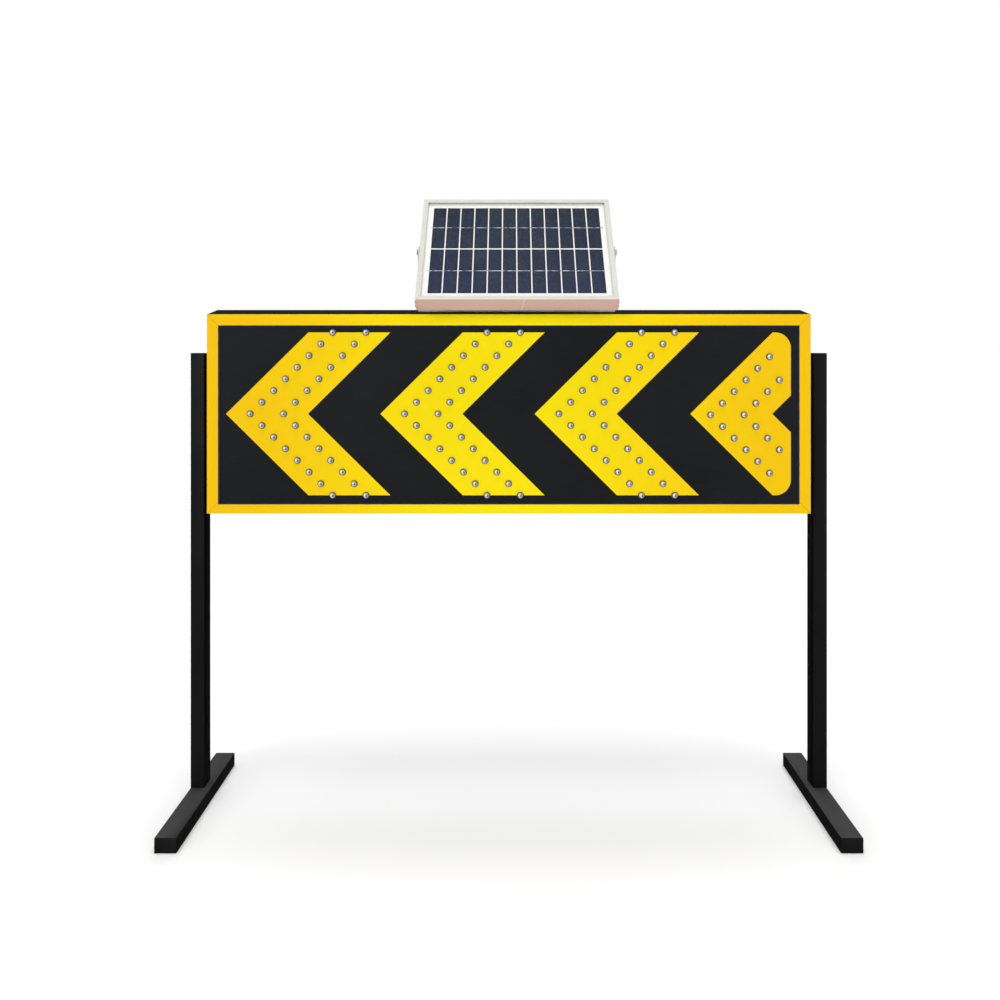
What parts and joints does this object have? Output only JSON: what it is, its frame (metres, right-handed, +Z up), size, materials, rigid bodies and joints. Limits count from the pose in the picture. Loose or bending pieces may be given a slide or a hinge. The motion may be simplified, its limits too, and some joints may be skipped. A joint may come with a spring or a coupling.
{
  "type": "solar chevron board",
  "caption": "Free-standing lit chevron sign on two skid feet, powered by a tilting solar panel, with a lockable rear equipment door.",
  "frame": {"origin": "on the ground, midway between the two feet and midway along them", "axes": "+X along the sign's width, to the right of someone facing the lit side; +Z up; the lit face looks along -Y"},
  "size_m": [1.274, 0.366, 1.2241],
  "materials": {
    "black_powder_coat": "satin",
    "black_housing": "satin",
    "yellow_bezel": "satin",
    "yellow_sheeting": "semi-gloss",
    "black_sheeting": "satin",
    "navy_rubber": "matt",
    "black_rubber": "matt",
    "black_plastic": "matt",
    "zinc_steel": "satin",
    "bright_zinc": "polished",
    "black_hinge": "satin",
    "dark_ring": "matt",
    "led_lens": "clear",
    "circuit_board": "solder mask",
    "white_nylon": "matt",
    "cable_jacket": "matt",
    "bare_aluminium": "brushed",
    "battery_wrap": "shrink film",
    "black_webbing": "woven",
    "grey_plastic": "matt",
    "green_plastic": "matt",
    "red_plastic": "gloss",
    "pale_bracket": "satin",
    "anodised_frame": "anodised",
    "solar_glass": "clear",
    "white_backsheet": "matt",
    "solar_cell": "coated silicon",
    "silver_ribbon": "tinned"
  },
  "bodies": {
    "sign": {"left_post": "black_powder_coat", "right_post": "black_powder_coat", "left_foot": "black_powder_coat", "right_foot": "black_powder_coat", "post_top_caps": "black_plastic", "foot_end_caps": "black_plastic", "post_base_blocks": "zinc_steel", "foot_bolts": "zinc_steel", "side_spacers": "black_plastic", "side_bolts": "zinc_steel", "side_clinch_nuts": "zinc_steel", "side_hole_plugs": "black_plastic", "rear_housing": "black_housing", "front_bezel": "yellow_bezel", "bezel_nuts": "zinc_steel", "panel_gasket": "navy_rubber", "front_panel": "black_sheeting", "chevron_sheet_1": "yellow_sheeting", "chevron_sheet_2": "yellow_sheeting", "chevron_sheet_3": "yellow_sheeting", "chevron_sheet_4": "yellow_sheeting", "led_rings": "dark_ring", "led_lenses": "led_lens", "led_boards": "circuit_board", "board_standoffs": "white_nylon", "board_connectors": "white_nylon", "led_jumper_cables": "cable_jacket", "wiring_harness": "cable_jacket", "equipment_plate": "bare_aluminium", "battery_pack": "battery_wrap", "battery_strap": "black_webbing", "charge_controller": "grey_plastic", "terminal_block": "green_plastic", "door_seal": "black_rubber", "fixed_hinge_leaves": "black_hinge", "hinge_pins": "zinc_steel", "power_switch_body": "black_plastic", "mode_button_body": "black_plastic", "solar_lead_gland": "black_plastic", "solar_bracket": "pale_bracket", "bracket_rivets": "bare_aluminium"},
    "solar_panel": {"solar_lower_rail": "anodised_frame", "solar_upper_rail": "anodised_frame", "solar_left_rail": "anodised_frame", "solar_right_rail": "anodised_frame", "solar_glass": "solar_glass", "solar_backsheet": "white_backsheet", "solar_cells": "solar_cell", "solar_ribbons": "silver_ribbon", "junction_box": "black_plastic", "pivot_bolts": "zinc_steel", "pivot_nuts": "zinc_steel"},
    "door": {"access_door": "black_housing", "door_hinge_leaves": "black_hinge", "lock_barrels": "bright_zinc"},
    "upper_lock": {"upper_lock_plug": "bright_zinc"},
    "lower_lock": {"lower_lock_plug": "bright_zinc"},
    "power_rocker": {"power_rocker": "red_plastic"},
    "mode_button": {"mode_button_cap": "grey_plastic"}
  },
  "joints": [
    {"name": "solar_tilt", "type": "hinge", "parent": "sign", "child": "solar_panel", "pos_m": [0.016, 0.044, 1.1026], "axis": [1, 0, 0], "range_deg": [-108, 12]},
    {"name": "door_swing", "type": "hinge", "parent": "sign", "child": "door", "pos_m": [0.198, 0.078, 0.777], "axis": [0, 0, -1], "range_deg": [0, 110]},
    {"name": "upper_lock_turn", "type": "hinge", "parent": "door", "child": "upper_lock", "pos_m": [-0.15, 0.072, 0.837], "axis": [0, 1, 0], "range_deg": [0, 90]},
    {"name": "lower_lock_turn", "type": "hinge", "parent": "door", "child": "lower_lock", "pos_m": [-0.15, 0.072, 0.717], "axis": [0, 1, 0], "range_deg": [0, 90]},
    {"name": "rocker_tip", "type": "hinge", "parent": "sign", "child": "power_rocker", "pos_m": [-0.25, 0.0698, 0.801], "axis": [-1, 0, 0], "range_deg": [0, 20]},
    {"name": "mode_press", "type": "slide", "parent": "sign", "child": "mode_button", "axis": [0, -1, 0], "range_m": [0, 0.002], "stiffness_N_per_m": 400}
  ]
}
